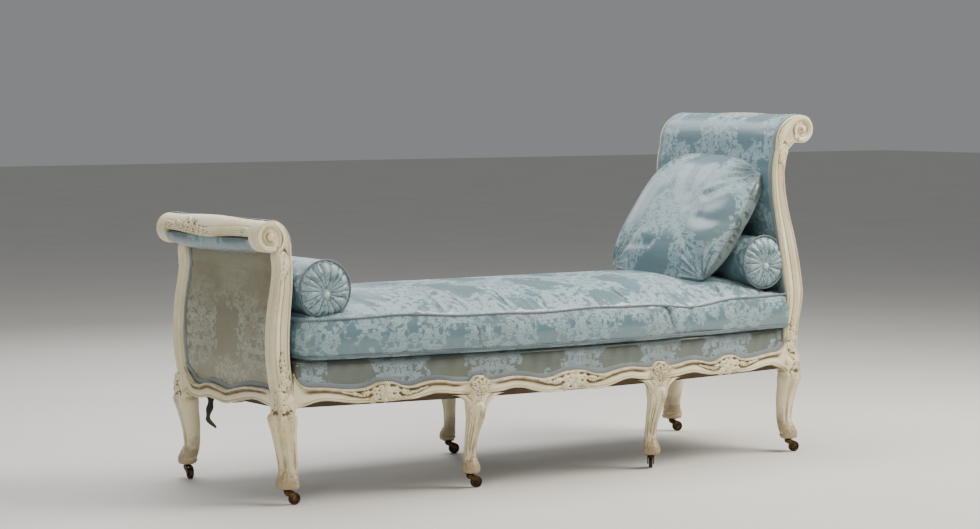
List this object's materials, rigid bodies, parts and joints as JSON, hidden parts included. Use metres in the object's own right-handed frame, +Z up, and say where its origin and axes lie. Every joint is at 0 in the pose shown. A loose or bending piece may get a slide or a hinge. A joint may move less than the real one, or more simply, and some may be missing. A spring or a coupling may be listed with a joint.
{
  "type": "fainting couch",
  "caption": "Painted and carved daybed with scrolled ends of unequal height, a bowed front, a loose squab, bolsters and a pillow, on cabriole legs with castors.",
  "frame": {"origin": "middle of the footprint's bounding box, on the floor", "axes": "+X along the couch towards the high end, -Y is the bowed front, +Z up"},
  "size_m": [1.9998, 0.7124, 1.0559],
  "materials": {
    "painted_wood": "aged cream paint, worn",
    "bare_wood": "unfinished beech",
    "blue_damask": "satin damask",
    "faded_damask": "faded satin damask",
    "jute": "woven jute",
    "castor_brass": "dark, aged",
    "wheel_brown": "dark, smooth"
  },
  "bodies": {
    "frame": {"leg_front_left": "painted_wood", "leg_front_mid_left": "painted_wood", "leg_front_mid_right": "painted_wood", "leg_front_right": "painted_wood", "leg_rear_left": "painted_wood", "leg_rear_mid": "painted_wood", "leg_rear_right": "painted_wood", "rail_front_left": "painted_wood", "rail_front_middle": "painted_wood", "rail_front_right": "painted_wood", "rail_rear_left": "painted_wood", "rail_rear_right": "painted_wood", "end_rail_low": "painted_wood", "end_rail_high": "painted_wood", "upright_low_front": "painted_wood", "upright_low_rear": "painted_wood", "upright_high_front": "painted_wood", "upright_high_rear": "painted_wood", "crest_rail_low": "painted_wood", "crest_rail_high": "painted_wood", "cross_brace_left": "bare_wood", "cross_brace_right": "bare_wood", "scroll_roll_low": "blue_damask", "scroll_roll_high": "blue_damask", "inner_pad_low": "blue_damask", "inner_pad_high": "blue_damask", "seat_deck": "blue_damask", "outer_panel_low": "faded_damask", "outer_panel_high": "faded_damask", "seat_webbing": "jute", "castor_plate_front_left": "castor_brass", "castor_plate_front_mid_left": "castor_brass", "castor_plate_front_mid_right": "castor_brass", "castor_plate_front_right": "castor_brass", "castor_plate_rear_left": "castor_brass", "castor_plate_rear_mid": "castor_brass", "castor_plate_rear_right": "castor_brass"},
    "horn_front_left": {"castor_horn_front_left": "castor_brass"},
    "wheel_front_left": {"castor_wheel_front_left": "wheel_brown"},
    "horn_front_mid_left": {"castor_horn_front_mid_left": "castor_brass"},
    "wheel_front_mid_left": {"castor_wheel_front_mid_left": "wheel_brown"},
    "horn_front_mid_right": {"castor_horn_front_mid_right": "castor_brass"},
    "wheel_front_mid_right": {"castor_wheel_front_mid_right": "wheel_brown"},
    "horn_front_right": {"castor_horn_front_right": "castor_brass"},
    "wheel_front_right": {"castor_wheel_front_right": "wheel_brown"},
    "horn_rear_left": {"castor_horn_rear_left": "castor_brass"},
    "wheel_rear_left": {"castor_wheel_rear_left": "wheel_brown"},
    "horn_rear_mid": {"castor_horn_rear_mid": "castor_brass"},
    "wheel_rear_mid": {"castor_wheel_rear_mid": "wheel_brown"},
    "horn_rear_right": {"castor_horn_rear_right": "castor_brass"},
    "wheel_rear_right": {"castor_wheel_rear_right": "wheel_brown"},
    "squab": {"seat_squab": "blue_damask"},
    "low_bolster": {"bolster_low": "blue_damask", "bolster_low_button_front": "blue_damask", "bolster_low_button_rear": "blue_damask"},
    "high_bolster": {"bolster_high": "blue_damask", "bolster_high_button_front": "blue_damask", "bolster_high_button_rear": "blue_damask"},
    "pillow": {"pillow": "blue_damask"}
  },
  "joints": [
    {"name": "swivel_front_left", "type": "hinge", "parent": "frame", "child": "horn_front_left", "pos_m": [-0.898, -0.25117, 0.035], "axis": [0, 0, 1], "continuous": true},
    {"name": "roll_front_left", "type": "hinge", "parent": "horn_front_left", "child": "wheel_front_left", "pos_m": [-0.88326, -0.26149, 0.01618], "axis": [0.5736, 0.8192, 0], "continuous": true},
    {"name": "swivel_front_mid_left", "type": "hinge", "parent": "frame", "child": "horn_front_mid_left", "pos_m": [-0.323, -0.28925, 0.035], "axis": [0, 0, 1], "continuous": true},
    {"name": "roll_front_mid_left", "type": "hinge", "parent": "horn_front_mid_left", "child": "wheel_front_mid_left", "pos_m": [-0.30539, -0.293, 0.01618], "axis": [0.2079, 0.9781, 0], "continuous": true},
    {"name": "swivel_front_mid_right", "type": "hinge", "parent": "frame", "child": "horn_front_mid_right", "pos_m": [0.327, -0.28925, 0.035], "axis": [0, 0, 1], "continuous": true},
    {"name": "roll_front_mid_right", "type": "hinge", "parent": "horn_front_mid_right", "child": "wheel_front_mid_right", "pos_m": [0.33808, -0.27507, 0.01618], "axis": [-0.788, 0.6157, 0], "continuous": true},
    {"name": "swivel_front_right", "type": "hinge", "parent": "frame", "child": "horn_front_right", "pos_m": [0.902, -0.25117, 0.035], "axis": [0, 0, 1], "continuous": true},
    {"name": "roll_front_right", "type": "hinge", "parent": "horn_front_right", "child": "wheel_front_right", "pos_m": [0.91891, -0.25732, 0.01618], "axis": [0.342, 0.9397, 0], "continuous": true},
    {"name": "swivel_rear_left", "type": "hinge", "parent": "frame", "child": "horn_rear_left", "pos_m": [-0.898, 0.32883, 0.035], "axis": [0, 0, 1], "continuous": true},
    {"name": "roll_rear_left", "type": "hinge", "parent": "horn_rear_left", "child": "wheel_rear_left", "pos_m": [-0.89957, 0.3109, 0.01618], "axis": [0.9962, -0.0872, 0], "continuous": true},
    {"name": "swivel_rear_mid", "type": "hinge", "parent": "frame", "child": "horn_rear_mid", "pos_m": [0.002, 0.31183, 0.035], "axis": [0, 0, 1], "continuous": true},
    {"name": "roll_rear_mid", "type": "hinge", "parent": "horn_rear_mid", "child": "wheel_rear_mid", "pos_m": [0.01912, 0.30627, 0.01618], "axis": [0.309, 0.9511, 0], "continuous": true},
    {"name": "swivel_rear_right", "type": "hinge", "parent": "frame", "child": "horn_rear_right", "pos_m": [0.902, 0.32883, 0.035], "axis": [0, 0, 1], "continuous": true},
    {"name": "roll_rear_right", "type": "hinge", "parent": "horn_rear_right", "child": "wheel_rear_right", "pos_m": [0.91831, 0.32123, 0.01618], "axis": [0.4226, 0.9063, 0], "continuous": true},
    {"name": "squab_draw_out", "type": "slide", "parent": "frame", "child": "squab", "axis": [0, -1, 0], "range_m": [0, 0.68]},
    {"name": "low_bolster_lift", "type": "slide", "parent": "squab", "child": "low_bolster", "axis": [0, 0, 1], "range_m": [0, 0.35]},
    {"name": "high_bolster_draw_out", "type": "slide", "parent": "squab", "child": "high_bolster", "axis": [0, -1, 0], "range_m": [0, 0.6]},
    {"name": "pillow_lift", "type": "slide", "parent": "squab", "child": "pillow", "axis": [-0.8, 0, 0.6], "range_m": [0, 0.35]}
  ]
}
